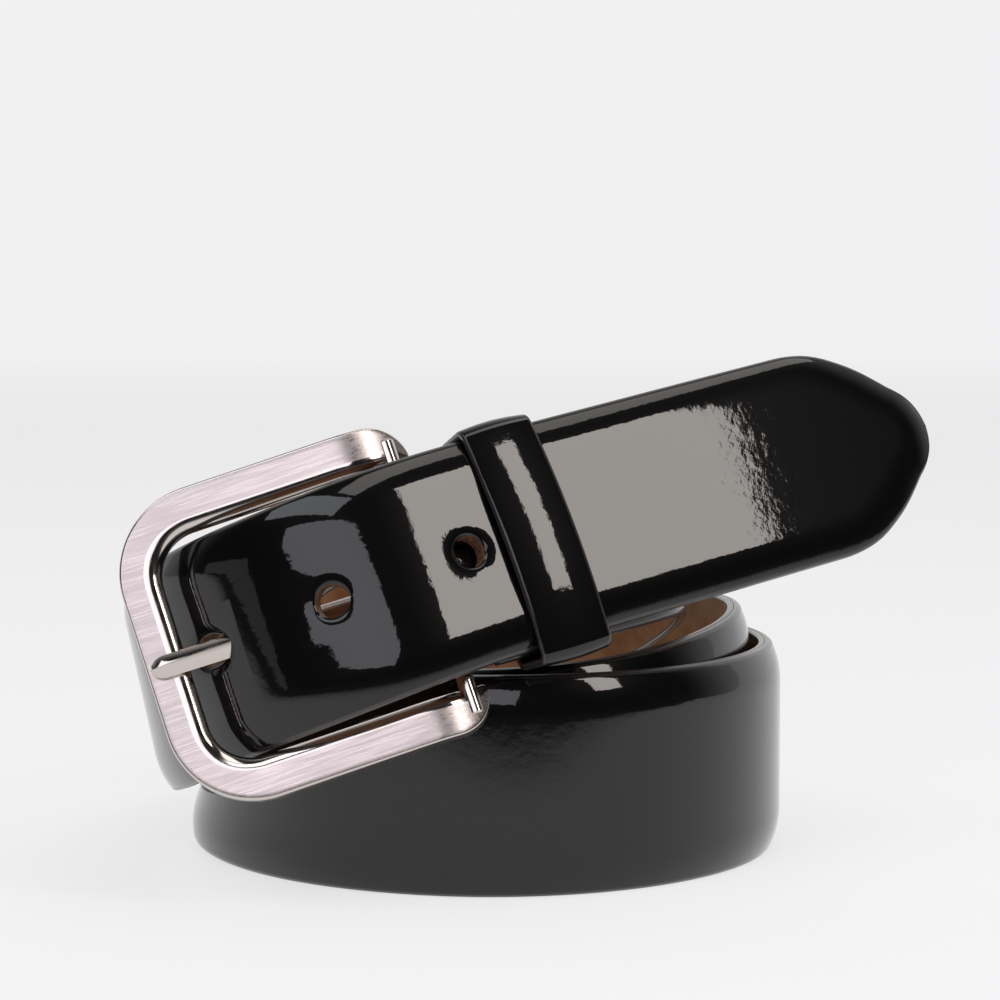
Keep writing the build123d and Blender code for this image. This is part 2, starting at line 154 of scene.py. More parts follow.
# Length along the middle of the strap's thickness, against place on the route
TABLE_U = np.linspace(0, len(STATIONS) - 3, 6000)
TABLE_MIDDLE = strap_points(TABLE_U, np.zeros_like(TABLE_U), np.full_like(TABLE_U, THICKNESS / 2))
TABLE_LENGTH = np.concatenate(
    [[0], np.cumsum(np.linalg.norm(np.diff(TABLE_MIDDLE, axis=0), axis=1))]
)


def length_at(u):
    return float(np.interp(u, TABLE_U, TABLE_LENGTH))


def u_at(length):
    return np.interp(length, TABLE_LENGTH, TABLE_U)


TIP_LENGTH = length_at(TAIL_END_U)
HOLE_LENGTHS = [length_at(HOLE_1_U) - HOLE_SPACING * i for i in range(HOLE_COUNT)]

# The buckle's own frame: x from the front bar towards the tail, y up the heel bar, z outwards
bar_origin, bar_across, bar_out, bar_along = (a[0] for a in sections(BAR_U))
bar_centre = bar_origin + bar_out * BAR_OFFSET
to_front = AXIS + FRONT_BAR_AIM - bar_centre
buckle_x = unit(bar_across * np.dot(bar_across, to_front) - to_front)
buckle_z = np.cross(buckle_x, bar_across)
buckle_middle = bar_centre + bar_across * BUCKLE_SHIFT


def placed(origin, x, y, z):
    """A matrix in metres for a frame whose origin is in millimetres."""
    matrix = Matrix.Identity(4)
    for i, column in enumerate((x, y, z, np.asarray(origin) * MM)):
        for row in range(3):
            matrix[row][i] = float(column[row])
    return matrix


BUCKLE = placed(buckle_middle, buckle_x, bar_across, buckle_z)
FOLD = placed(bar_centre, bar_along, bar_out, -bar_across)
prong_tilt = math.atan2(PRONG_RISE, PRONG_REST)
prong_x = buckle_x * math.cos(prong_tilt) - buckle_z * math.sin(prong_tilt)
PRONG = placed(
    buckle_middle + bar_across * PRONG_SHIFT, prong_x, bar_across, np.cross(prong_x, bar_across)
)
keeper_origin, keeper_across, keeper_out, keeper_along = (a[0] for a in sections(KEEPER_U))
KEEPER = placed(keeper_origin, keeper_across, keeper_out, keeper_along)

# ---------------------------------------------------------------- materials


def new_material(name, color, roughness, metallic=0.0, **sockets):
    """A principled material with its constants on the shader's own sockets."""
    material = bpy.data.materials.new(name)
    material.use_nodes = True
    shader = material.node_tree.nodes["Principled BSDF"]
    shader.inputs["Base Color"].default_value = (*color, 1)
    shader.inputs["Roughness"].default_value = roughness
    shader.inputs["Metallic"].default_value = metallic
    for socket, value in sockets.items():
        shader.inputs[socket.replace("_", " ")].default_value = value
    return material


def node(material, kind, **settings):
    made = material.node_tree.nodes.new(kind)
    for name, value in settings.items():
        if name in made.inputs:
            made.inputs[name].default_value = value
        else:
            setattr(made, name, value)
    return made


def link(material, source, output, target, socket):
    material.node_tree.links.new(source.outputs[output], target.inputs[socket])


def noise(material, scale, detail=2.0, stretch=(1, 1, 1)):
    """Noise over the object's own coordinates, finer along the axes with a larger stretch."""
    place = node(material, "ShaderNodeTexCoord")
    mapping = node(material, "ShaderNodeMapping", Scale=stretch)
    texture = node(material, "ShaderNodeTexNoise", Scale=scale, Detail=detail)
    link(material, place, "Object", mapping, "Vector")
    link(material, mapping, "Vector", texture, "Vector")
    return texture


def bump(material, texture, strength, distance, below=None):
    """Adds the texture as bump, on top of an earlier bump if there is one."""
    raised = node(material, "ShaderNodeBump", Strength=strength, Distance=distance)
    link(material, texture, "Fac", raised, "Height")
    if below is not None:
        link(material, below, "Normal", raised, "Normal")
    link(material, raised, "Normal", material.node_tree.nodes["Principled BSDF"], "Normal")
    return raised


def vary(material, texture, socket, low, high):
    """Drives a shader socket between two colours or two numbers by a texture."""
    ramp = node(material, "ShaderNodeValToRGB")
    for element, value, position in zip(ramp.color_ramp.elements, (low, high), (0.35, 0.65)):
        element.position = position
        element.color = (*value, 1) if isinstance(value, tuple) else (value, value, value, 1)
    link(material, texture, "Fac", ramp, "Fac")
    link(material, ramp, "Color", material.node_tree.nodes["Principled BSDF"], socket)


def patent_leather():
    material = new_material(
        "patent_leather", (0.0022, 0.002, 0.0022), 0.35, Specular_IOR_Level=0.05,
        Coat_Weight=1.0, Coat_Roughness=0.03,
    )
    swell = bump(material, noise(material, 190, 2), 0.35, 0.00006)
    peel = bump(material, noise(material, 900, 3), 0.5, 0.00002, swell)
    link(material, peel, "Normal", material.node_tree.nodes["Principled BSDF"], "Coat Normal")
    return material


def edge_paint():
    material = new_material(
        "edge_paint", (0.014, 0.012, 0.012), 0.32, Coat_Weight=0.5, Coat_Roughness=0.15
    )
    vary(material, noise(material, 700, 3), "Base Color", (0.010, 0.009, 0.009), (0.022, 0.018, 0.017))
    bump(material, noise(material, 1200, 3), 0.5, 0.00003)
    return material


def tan_leather():
    material = new_material("lining_leather", (0.26, 0.12, 0.05), 0.5, Specular_IOR_Level=0.4)
    vary(material, noise(material, 120, 6), "Base Color", (0.20, 0.088, 0.036), (0.34, 0.17, 0.078))
    pores = bump(material, noise(material, 1500, 4), 0.6, 0.00005)
    bump(material, noise(material, 320, 2), 0.4, 0.00008, pores)
    return material


def raw_leather():
    """The cut layers that show inside a hole."""
    material = new_material("raw_leather", (0.16, 0.085, 0.045), 0.75)
    vary(material, noise(material, 1400, 4), "Base Color", (0.11, 0.055, 0.028), (0.27, 0.14, 0.07))
    bump(material, noise(material, 2500, 3), 0.8, 0.00008)
    return material


def brushed_metal():
    material = new_material(
        "brushed_nickel", (0.60, 0.54, 0.53), 0.3, metallic=1.0, Anisotropic=0.5
    )
    lines = noise(material, 120, 3, (1.2, 30, 30))
    vary(material, lines, "Roughness", 0.26, 0.38)
    bump(material, lines, 0.22, 0.00001)
    return material


def polished_metal():
    material = new_material("polished_nickel", (0.62, 0.56, 0.53), 0.1, metallic=1.0)
    vary(material, noise(material, 500, 3), "Roughness", 0.08, 0.15)
    bump(material, noise(material, 300, 2), 0.08, 0.00002)
    return material


def waxed_thread():
    material = new_material("waxed_thread", (0.012, 0.012, 0.012), 0.5, Sheen_Weight=0.3)
    bump(material, noise(material, 2500, 2), 0.7, 0.00005)
    return material


PATENT = patent_leather()
EDGE = edge_paint()
LINING = tan_leather()
RAW = raw_leather()
BRUSHED = brushed_metal()
POLISHED = polished_metal()
THREAD = waxed_thread()

# ---------------------------------------------------------------- mesh building


def new_piece(name, points, faces, kinds, materials, matrix=None, sharp=40):
    """A smooth-shaded object from points in millimetres, with a material number per face."""
    mesh = bpy.data.meshes.new(name)
    mesh.from_pydata((np.asarray(points) * MM).tolist(), [], [list(f) for f in faces])
    for material in materials:
        mesh.materials.append(material)
    mesh.polygons.foreach_set("material_index", np.asarray(kinds, np.int32))
    mesh.polygons.foreach_set("use_smooth", np.ones(len(faces), bool))
    mesh.set_sharp_from_angle(angle=math.radians(sharp))
    mesh.validate()
    piece = bpy.data.objects.new(name, mesh)
    bpy.context.scene.collection.objects.link(piece)
    if matrix is not None:
        piece.matrix_world = matrix
    return piece


def tube(grid, closed_path=False):
    """Faces of a tube whose sections are the grid's rows, each a closed loop, with flat ends."""
    rows, size = grid
    faces = []
    last = rows if closed_path else rows - 1
    for i in range(last):
        a = i * size
        b = (i + 1) % rows * size
        faces += [(a + k, a + (k + 1) % size, b + (k + 1) % size, b + k) for k in range(size)]
    if not closed_path:
        faces.append(tuple(reversed(range(size))))
        faces.append(tuple(range((rows - 1) * size, rows * size)))
    return faces


def loops_to_mesh(loops, closed_path=False):
    """Points and tube faces from equal closed loops."""
    grid = np.asarray(loops, float)
    return grid.reshape(-1, 3).tolist(), tube(grid.shape[:2], closed_path)


def joined(parts):
    """One list of points and one of faces from several closed pieces."""
    points = []
    faces = []
    for some_points, some_faces in parts:
        start = len(points)
        points += some_points
        faces += [tuple(start + k for k in face) for face in some_faces]
    return points, faces


def outward(points, faces):
    """The faces, turned so that the closed mesh has a positive volume."""
    p = np.asarray(points)
    volume = 0.0
    for face in faces:
        for b, c in zip(face[1:], face[2:]):
            volume += np.dot(p[face[0]], np.cross(p[b], p[c]))
    return faces if volume > 0 else [tuple(reversed(face)) for face in faces]


CIRCLE = np.linspace(0, 2 * math.pi, 32, endpoint=False)


# ---------------------------------------------------------------- the strap

# Outline of the tail's point: half width against distance back from the tip
NOSE = 4.2
NOSE_HALF = 8.0
NOSE_RADIUS = (NOSE_HALF**2 + NOSE**2) / (2 * NOSE)
TAPER = ((NOSE, NOSE_HALF), (9.0, 12.5), (15.5, 16.4), (20.5, STRAP_HALF), (60.0, STRAP_HALF))
TAPER_SOFTENING = 2.5
SOFTENING_SAMPLES = 10
LAST_HALF = 0.25

# How far back from the tip the outline is followed, finely and then coarsely
FINE_REACH = 4.0
TIP_REACH = 30.0
OUTLINE_REACH = 40.0


def half_width(back):
    """The strap's half width, a distance back from its tip."""
    x, w = zip(*TAPER)
    around = np.linspace(-TAPER_SOFTENING, TAPER_SOFTENING, 2 * SOFTENING_SAMPLES + 1)
    reach = np.asarray(back, float)[..., None] + around
    nose = np.sqrt(np.clip(NOSE_RADIUS**2 - (NOSE_RADIUS - np.clip(reach, 0, NOSE)) ** 2, 0, None))
    sides = np.where(reach < NOSE, nose, np.interp(reach, x, w))
    middle = sides[..., SOFTENING_SAMPLES]
    smooth = sides.mean(axis=-1)
    mix = np.clip((np.asarray(back, float) - NOSE) / TAPER_SOFTENING, 0, 1)
    return np.maximum(middle * (1 - mix) + smooth * mix, LAST_HALF)


def outline_depth(back, v):
    """Distance in from the outline of the tail's point."""
    fine = np.linspace(0, 1, 30) ** 2 * FINE_REACH
    x = np.concatenate([fine, np.linspace(FINE_REACH + 0.1, OUTLINE_REACH, 260)])
    w = half_width(x)
    edge = np.concatenate([np.stack([x, w], 1), np.stack([x, -w], 1)])
    gap = np.hypot(back[:, None] - edge[:, 0], v[:, None] - edge[:, 1]).min(axis=1)
    return np.minimum(gap, OUTLINE_REACH)


def crown(depth):
    """Height of the face above the lining, a distance in from the strap's outline."""
    t = np.clip(depth / CROWN_START, 0, 1)
    return EDGE_THICKNESS + (THICKNESS - EDGE_THICKNESS) * (1 - (1 - t) ** CROWN_POWER)


# Columns across the strap, as distances in from its edge, and the even ones in the middle
EDGE_COLUMNS = np.array([0.5, 0.9, 1.4, 2.0, 2.7, 3.5, 4.4, 5.4, 6.4])
MIDDLE_HALF = 10.0
CELL = 1.25
MIDDLE_COLUMNS = np.arange(-MIDDLE_HALF, MIDDLE_HALF + 0.01, CELL)
MIDDLE_CELLS = len(MIDDLE_COLUMNS)
COLUMNS = np.concatenate(
    [EDGE_COLUMNS - STRAP_HALF, MIDDLE_COLUMNS, STRAP_HALF - EDGE_COLUMNS[::-1]]
)
LEAST_INNER = 1.5

# The painted side of each half of the thickness: (distance in, height)
FACE_SIDE = [
    (0.16, SEAM + SEAM_GAP), (0.03, SEAM + 0.16), (0.0, 1.45), (0.03, 1.75), (0.14, 1.98), (0.3, 2.13),
]
LINING_SIDE = [
    (0.16, SEAM - SEAM_GAP), (0.03, SEAM - 0.16), (0.0, 0.6), (0.05, 0.28), (0.18, 0.08), (0.34, 0.0),
]
SIDE_SHARE = 0.9

# A hole's patch, in cells each way from its middle, and its rim: (distance out, depth)
PATCH = 5
DISH = [(0.0, 0.5), (0.12, 0.36), (0.35, 0.24), (0.8, 0.13), (1.3, 0.05), (1.8, 0.0)]
FLAT_RIM = [(0.0, 0.12), (0.15, 0.03), (0.5, 0.0)]
WALL_STEPS = (0.33, 0.66, 1.0)

# The hole that the prong comes up through: half length, half width and place along the strap
PRONG_HOLE = 2
PRONG_HOLE_ALONG = 3.7
PRONG_HOLE_ACROSS = 2.45
PRONG_HOLE_SHIFT = 0.6

# Rows that close in towards the tip
NOSE_ROWS = 22
NOSE_ROWS_START = 9.0
FIRST_NOSE_ROW = 0.8 * CELL

# Material numbers of the strap's halves
SURFACE, PAINTED, CUT = range(3)


def squeeze(v, half):
    """Moves a column to suit a narrower strap, keeping its distance from the edge."""
    margin = STRAP_HALF - MIDDLE_HALF
    room = max(half, margin + LEAST_INNER)
    inner = room - margin
    size = np.abs(v)
    moved = np.where(size > MIDDLE_HALF, room - (STRAP_HALF - size), size * inner / MIDDLE_HALF)
    return np.sign(v) * moved * half / room


def inner_height(face_side):
    """Height of a half's hidden side, where the two halves meet."""
    return SEAM + (SEAM_GAP if face_side else -SEAM_GAP)


def half_section(back, half, face_side):
    """One section of half the thickness, as a closed loop of (across, height)."""
    side = FACE_SIDE if face_side else LINING_SIDE
    left = [(-half + min(depth, half * SIDE_SHARE), height) for depth, height in side]
    v = squeeze(COLUMNS, half)
    if not face_side:
        n = np.zeros(len(v))
    elif back < TIP_REACH:
        n = crown(outline_depth(np.full(len(v), back), v))
    else:
        n = crown(half - np.abs(v))
    right = [(-across, height) for across, height in reversed(left)]
    hidden = [(across, inner_height(face_side)) for across in v[::-1]]
    return left + list(zip(v, n)) + right + hidden


def patch_border(row):
    """The cells' corners round a hole's patch, as (row, middle column), in order."""
    low = (MIDDLE_CELLS - 1) // 2 - PATCH
    high = low + 2 * PATCH
    border = [(row - PATCH, j) for j in range(low, high)]
    border += [(row + i, high) for i in range(-PATCH, PATCH)]
    border += [(row + PATCH, j) for j in range(high, low, -1)]
    border += [(row + i, low) for i in range(PATCH, -PATCH, -1)]
    return border


def hole_rings(border, lengths, hole, face_side):
    """Rings of points from the patch's border in over the rim and down the hole's wall, and
    the material number of the faces above each."""
    place, radius_along, radius_across = hole
    along = np.array([lengths[i] - place for i, _ in border])
    across = np.array([MIDDLE_COLUMNS[j] for _, j in border])
    angle = np.arctan2(across / radius_across, along / radius_along)
    rim_along = radius_along * np.cos(angle)
    rim_across = radius_across * np.sin(angle)
    reach = np.hypot(rim_along, rim_across)
    if face_side:
        steps = [(out, THICKNESS - depth, SURFACE) for out, depth in reversed(DISH)]
    else:
        steps = [(out, depth, SURFACE) for out, depth in reversed(FLAT_RIM)]
    top = steps[-1][1]
    steps += [(0.0, top * (1 - t) + inner_height(face_side) * t, CUT) for t in WALL_STEPS]
    rings = []
    for out, height, _ in steps:
        factor = (reach + out) / reach
        heights = np.full(len(border), height)
        rings.append(strap_points(u_at(place + rim_along * factor), rim_across * factor, heights))
    return rings, [kind for _, _, kind in steps]


def strip(name, lengths, face_side, holes, materials):
    """Half of the strap's thickness between two lengths, as one closed mesh: the crowned
    face with its painted sides, or the lining. materials are surface, side and cut."""
    backs = TIP_LENGTH - lengths
    grid = np.array([half_section(b, h, face_side) for b, h in zip(backs, half_width(backs))])
    rows, size, _ = grid.shape
    places = np.repeat(u_at(lengths), size)
    points = strap_points(places, grid[..., 0].ravel(), grid[..., 1].ravel()).tolist()
    sides = len(FACE_SIDE if face_side else LINING_SIDE)
    surface_end = sides + len(COLUMNS) - 1
    painted_end = surface_end + sides
    outer_column = [sides + len(EDGE_COLUMNS) + j for j in range(MIDDLE_CELLS)]
    last_column = painted_end + len(COLUMNS) - len(EDGE_COLUMNS)
    inner_column = [last_column - j for j in range(MIDDLE_CELLS)]
    dropped = set()
    faces = []
    kinds = []
    for hole in holes:
        row = int(round((hole[0] - lengths[0]) / (lengths[1] - lengths[0])))
        border = patch_border(row)
        low, high = min(j for _, j in border), max(j for _, j in border)
        for i in range(row - PATCH, row + PATCH):
            for j in range(low, high):
                dropped.add((i, outer_column[j]))
                dropped.add((i, inner_column[j + 1]))
        made, ring_kinds = hole_rings(border, lengths, hole, face_side)
        rings = [[i * size + outer_column[j] for i, j in border]]
        for ring_points in made:
            rings.append([len(points) + k for k in range(len(border))])
            points += ring_points.tolist()
        rings.append([i * size + inner_column[j] for i, j in border])
        for a, b, kind in zip(rings, rings[1:], ring_kinds + [CUT]):
            for k in range(len(border)):
                following = (k + 1) % len(border)
                faces.append((a[k], a[following], b[following], b[k]))
                kinds.append(kind)
    for i in range(rows - 1):
        for k in range(size):
            if (i, k) in dropped:
                continue
            following = (k + 1) % size
            here, beyond = i * size, (i + 1) * size
            faces.append((here + k, beyond + k, beyond + following, here + following))
            if k < sides or surface_end <= k < painted_end:
                kinds.append(PAINTED)
            else:
                kinds.append(SURFACE if k < surface_end else CUT)
    faces += [tuple(range(size)), tuple(reversed(range((rows - 1) * size, rows * size)))]
    kinds += [PAINTED, PAINTED]
    if not face_side:
        faces = [tuple(reversed(f)) for f in faces]
    return new_piece(name, points, faces, kinds, materials)


def strap_rows():
    """Lengths of the rows of the strap as far as the keeper, and of the tail beyond it."""
    seam = length_at(SEAM_U)
    rows = np.append(np.arange(length_at(BUCKLE_END_U), seam, CELL), seam)
    tail_rows = np.arange(seam, TIP_LENGTH - NOSE_ROWS_START, CELL)
    nose = 1 - np.sin(np.linspace(0, math.pi / 2, NOSE_ROWS))
    nose_length = TIP_LENGTH - tail_rows[-1] - FIRST_NOSE_ROW
    return rows, np.append(tail_rows, TIP_LENGTH - nose_length * nose)


def strap():
    """The strap and its free tail, each as a face and a lining."""
    rows, tail_rows = strap_rows()
    holes = [(place, HOLE_RADIUS, HOLE_RADIUS) for place in HOLE_LENGTHS]
    prong_place = HOLE_LENGTHS[PRONG_HOLE] + PRONG_HOLE_SHIFT
    holes[PRONG_HOLE] = (prong_place, PRONG_HOLE_ALONG, PRONG_HOLE_ACROSS)
    stretches = ("buckle_end", "inner_turn", "middle_turn", "outer_turn", "prong_run", "keeper_run")
    face = strip("strap_face", rows, True, holes, [PATENT, EDGE, RAW])
    lining = strip("strap_lining", rows, False, holes, [LINING, EDGE, RAW])
    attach(face, "strap")
    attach(lining, "strap")
    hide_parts(*[f"{layer}_{s}" for s in stretches for layer in ("face", "filler")])
    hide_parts(*[f"lining_{s}" for s in stretches])
    tail_face = strip("tail_face", tail_rows, True, [], [PATENT, EDGE, RAW])
    tail_lining = strip("tail_lining", tail_rows, False, [], [LINING, EDGE, RAW])
    for piece, slot, nodes in (
        (tail_face, "face_leather", ("face_tail", "filler_tail")),
        (tail_lining, "lining_leather", ("lining_tail",)),
    ):
        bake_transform(piece)
        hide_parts(*nodes)


strap()

# ---------------------------------------------------------------- buckle frame, bar and prong

FRAME_OUTER = 46.2
FRAME_INNER = 39.8
FRAME_HALF = 25.4
OPENING_HALF = 18.5
FRAME_CORNER = 14.0
OPENING_CORNER = 7.0
FRAME_FRONT = 3.7
FRAME_BACK = 0.1
HEEL_END = 3.0
ARM_END_CORNER = 6.0
ARM_END_REACH = 3.6
INNER_END_CORNER = 0.8
ARM_BEND = 8.0
BEND_DROP = 5.1
FRAME_SHARP = 50

# Places of the sections along an arm, closest together at its end and in its bend
ARM_PLACES = np.concatenate([
    HEEL_END - ARM_END_REACH * (1 - np.cos(np.linspace(0, math.pi / 2, 12))),
    np.linspace(-1.2, -10, 14),
    np.linspace(-13, FRAME_CORNER - FRAME_OUTER + 2, 7),
])
CORNER_ANGLES = np.radians(np.linspace(90, 180, 26))
FRONT_BAR_PLACES = (9, 6, 3)

# The underside of an arm near the heel bar: (place, height)
ARM_UNDERSIDE = ((-ARM_BEND, FRAME_BACK), (-1.5, -2.8), (1.5, -2.8), (HEEL_END, -1.9))

# The frame's section: a bevel towards the opening, wider on the front bar, and soft rims
BEVEL = 2.1
BEVEL_GAIN = 0.5
BEVEL_GAIN_START = 36
BEVEL_GAIN_RUN = 8
BEVEL_SHARE = 0.4
BEVEL_FALL = 1.75
BEVEL_ANGLES = np.radians(np.linspace(10, 84, 9))
RIM = 0.4
RIM_SHARE = 0.12
FACE_POINTS = 8
OUTER_SIDE_DEPTH = -1.6
INNER_SIDE_DEPTH = -2.1
FRAME_KINDS = [0, 1, 1, 1] + [0] * (FACE_POINTS - 1) + [1] * 16 + [0]

# The heel bar's sections: (place up the bar, radius)
BAR_SECTIONS = (
    (-22.8, 1.2), (-22.5, 1.5), (-11, 1.5), (0, 1.5), (11, 1.5), (22.5, 1.5), (22.8, 1.2),
)


def frame_path():
    """Matching points of the frame's outer and inner outlines, round from arm to arm."""
    outer = []
    inner = []
    corner_x = FRAME_CORNER - FRAME_OUTER
    corner_y = FRAME_HALF - FRAME_CORNER
    opening_x = OPENING_CORNER - FRAME_INNER
    opening_y = OPENING_HALF - OPENING_CORNER
    for x in ARM_PLACES:
        bite = max(x - HEEL_END + ARM_END_CORNER, 0)
        rounding = math.sqrt(max(ARM_END_CORNER**2 - bite**2, 0))
        outer.append((x, FRAME_HALF - ARM_END_CORNER + rounding))
        bite = max(x - HEEL_END + INNER_END_CORNER, 0)
        rounding = math.sqrt(max(INNER_END_CORNER**2 - bite**2, 0))
        inner.append((x, OPENING_HALF + INNER_END_CORNER - rounding))
    for angle in CORNER_ANGLES:
        c, d = math.cos(angle), math.sin(angle)
        outer.append((corner_x + FRAME_CORNER * c, corner_y + FRAME_CORNER * d))
        inner.append((opening_x + OPENING_CORNER * c, opening_y + OPENING_CORNER * d))
    for y in FRONT_BAR_PLACES:
        outer.append((-FRAME_OUTER, y))
        inner.append((-FRAME_INNER, y))
    outer = outer + [(-FRAME_OUTER, 0)] + [(x, -y) for x, y in reversed(outer)]
    inner = inner + [(-FRAME_INNER, 0)] + [(x, -y) for x, y in reversed(inner)]
    return np.array(outer), np.array(inner)


def frame_top(x):
    """Height of the frame's face, which bends back at the heel."""
    t = np.clip((x + ARM_BEND) / (ARM_BEND + HEEL_END), 0, 1)
    return FRAME_FRONT - BEND_DROP * t**2


def frame_bottom(x):
    """Height of the frame's back."""
    return np.interp(x, *zip(*ARM_UNDERSIDE))


def frame_section(outer, inner):
    """One section across the frame, as a closed loop."""
    width = math.hypot(*(inner - outer))
    bevel = BEVEL + BEVEL_GAIN * min(max((-outer[0] - BEVEL_GAIN_START) / BEVEL_GAIN_RUN, 0), 1)
    bevel = min(bevel, width * BEVEL_SHARE)
    rim = min(RIM, width * RIM_SHARE)
    flat = np.linspace(rim, width - bevel, FACE_POINTS)
    profile = [(0.0, OUTER_SIDE_DEPTH), (0.0, -0.42), (rim * 0.25, -0.16), (rim * 0.6, -0.04)]
    profile += [(x, 0.0) for x in flat]
    profile += [
        (width - bevel + bevel * math.sin(a), -BEVEL_FALL * (1 - math.cos(a))) for a in BEVEL_ANGLES
    ]
    profile += [(width, INNER_SIDE_DEPTH)]
    back = [
        (width, 0.5), (width - 0.3 * rim, 0.15), (width - rim, 0.0),
        (rim, 0.0), (rim * 0.3, 0.15), (0.0, 0.5),
    ]
    loop = []
    for part, height in ((profile, frame_top), (back, frame_bottom)):
        for distance, z in part:
            x, y = outer + (inner - outer) * distance / width
            low, high = frame_bottom(x), frame_top(x)
            share = (high - low) / (FRAME_FRONT - FRAME_BACK)
            loop.append((x, y, height(x) + z * min(share, 1.0)))
    return loop


def buckle():
    """The buckle's frame and its heel bar."""
    made = [frame_section(a, b) for a, b in zip(*frame_path())]
    points, faces = loops_to_mesh(made)
    kinds = FRAME_KINDS * (len(made) - 1) + [1, 1]
    piece = new_piece(
        "buckle_frame", points, outward(points, faces), kinds, [BRUSHED, POLISHED], BUCKLE, FRAME_SHARP
    )
    bar_rows = [
        [(radius * math.cos(a), y, radius * math.sin(a)) for a in CIRCLE] for y, radius in BAR_SECTIONS
    ]
    points, faces = loops_to_mesh(bar_rows)
    bar = new_piece("heel_bar", points, outward(points, faces), [0] * len(faces), [POLISHED], BUCKLE)
    for made_piece, node_name in ((piece, "buckle_frame"), (bar, "heel_bar")):
        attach(made_piece, "buckle")
        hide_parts(node_name)


PRONG_END = 45.6
PRONG_HALF = 1.8
PRONG_UNDER = -1.1
PRONG_TOP = 1.1
PRONG_SHARP = 28

# The prong's nose and taper, as distances back from its tip
NOSE_REACH = 2.4
NOSE_ANGLES = np.linspace(0.12, math.pi / 2, 14)
SHANK_START = 3.2
SHANK_STOP = PRONG_END - 1.75
TAPER_REACH = 4.5
TIP_DROP = 1.15
TIP_UNDER_RISE = 0.35

# The shoulder's height as a share of the prong's, and the ridge's place across it
SHOULDER = 0.52
RIDGE_START = 0.15
RIDGE_GAIN = 0.5
RIDGE_REACH = 14
RIDGE_HALF = 0.16

# The section of the loop that turns on the heel bar: (place up the bar, radius)
LOOP_SECTION = (
    (-1.8, 1.72), (-1.65, 1.6), (1.65, 1.6), (1.8, 1.72),
    (1.8, 2.75), (1.6, 2.97), (-1.6, 2.97), (-1.8, 2.75),
)


def shank_section(back):
    """One section across the shank, a distance back from the prong's tip."""
    x = back - PRONG_END
    half = PRONG_HALF * math.sqrt(1 - (1 - min(back / NOSE_REACH, 1)) ** 2)
    t = min(back / TAPER_REACH, 1)
    top = PRONG_TOP - TIP_DROP * (1 - t) ** 2
    shoulder = PRONG_UNDER + (top - PRONG_UNDER) * SHOULDER
    ridge = RIDGE_START + RIDGE_GAIN * min(back / RIDGE_REACH, 1)
    under = PRONG_UNDER + TIP_UNDER_RISE * (1 - t)
    section = [
        (-half * 0.97, shoulder - 0.12), (-half * 0.99, shoulder), (-half * 0.9, shoulder + 0.16),
        ((ridge - RIDGE_HALF) * half / PRONG_HALF, top - 0.05), (ridge * half / PRONG_HALF, top),
        ((ridge + RIDGE_HALF) * half / PRONG_HALF, top - 0.06), (half * 0.9, shoulder + 0.16),
        (half * 0.99, shoulder), (half * 0.97, shoulder - 0.12), (half * 0.85, under + 0.12),
        (half * 0.6, under), (-half * 0.6, under), (-half * 0.85, under + 0.12),
    ]
    return [(x, y, z) for y, z in section]


def prong():
    """A ridged shank with a rounded nose, and the loop that turns on the heel bar."""
    nose = NOSE_REACH * (1 - np.cos(NOSE_ANGLES))
    backs = np.concatenate([nose, np.linspace(SHANK_START, SHANK_STOP, 30)])
    shank = loops_to_mesh([shank_section(back) for back in backs])
    loop = loops_to_mesh(
        [[(r * math.cos(a), y, r * math.sin(a)) for y, r in LOOP_SECTION] for a in CIRCLE], True
    )
    parts = [(points, outward(points, faces)) for points, faces in (shank, loop)]
    points, faces = joined(parts)
    piece = new_piece("prong", points, faces, [0] * len(faces), [POLISHED], PRONG, PRONG_SHARP)
    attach(piece, "prong")
    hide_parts("prong")


buckle()
prong()

# ---------------------------------------------------------------- fold, keeper and stitching

SHEET_SOFTENING = 0.25
FOLD_OUTER = 2.93
LEG_OUTER = 2.6
LEG_LENGTH = 6.0
SLOT_LOW = -2.0
SLOT_HIGH = 4.4
SLOT_END = 4.2
BRIDGE_OVERLAP = 0.3
BAND_ROWS = 41
BRIDGE_ROWS = 4


def sheet_loop(low, high, thickness):
    """A sheet's section as (across, in from its outer side), with softened edges."""
    soft = SHEET_SOFTENING
    return [
        (low, soft), (low + soft * 0.4, soft * 0.3), (low + soft, 0.0), (high - soft, 0.0),
        (high - soft * 0.4, soft * 0.3), (high, soft), (high, thickness - soft),
        (high - soft, thickness), (low + soft, thickness), (low, thickness - soft),
    ]


SHEET_KINDS = [1, 1, 0, 1, 1, 1, 1, 2, 1, 1]


def fold_path(first, last, count):
    """Points and outward normals round the folded end; 0 and 1 are the legs' ends."""
    arc = math.pi * FOLD_OUTER
    total = arc + 2 * LEG_LENGTH
    made = []
    for s in np.linspace(first, last, count) * total:
        if s < LEG_LENGTH:
            share = s / LEG_LENGTH
            made.append((LEG_LENGTH - s, LEG_OUTER + (FOLD_OUTER - LEG_OUTER) * share, 0.0, 1.0))
        elif s > LEG_LENGTH + arc:
            share = (total - s) / LEG_LENGTH
            made.append((s - LEG_LENGTH - arc, -LEG_OUTER - (FOLD_OUTER - LEG_OUTER) * share, 0.0, -1.0))
        else:
            a = math.pi / 2 + (s - LEG_LENGTH) / FOLD_OUTER
            made.append((FOLD_OUTER * math.cos(a), FOLD_OUTER * math.sin(a), math.cos(a), math.sin(a)))
    return made


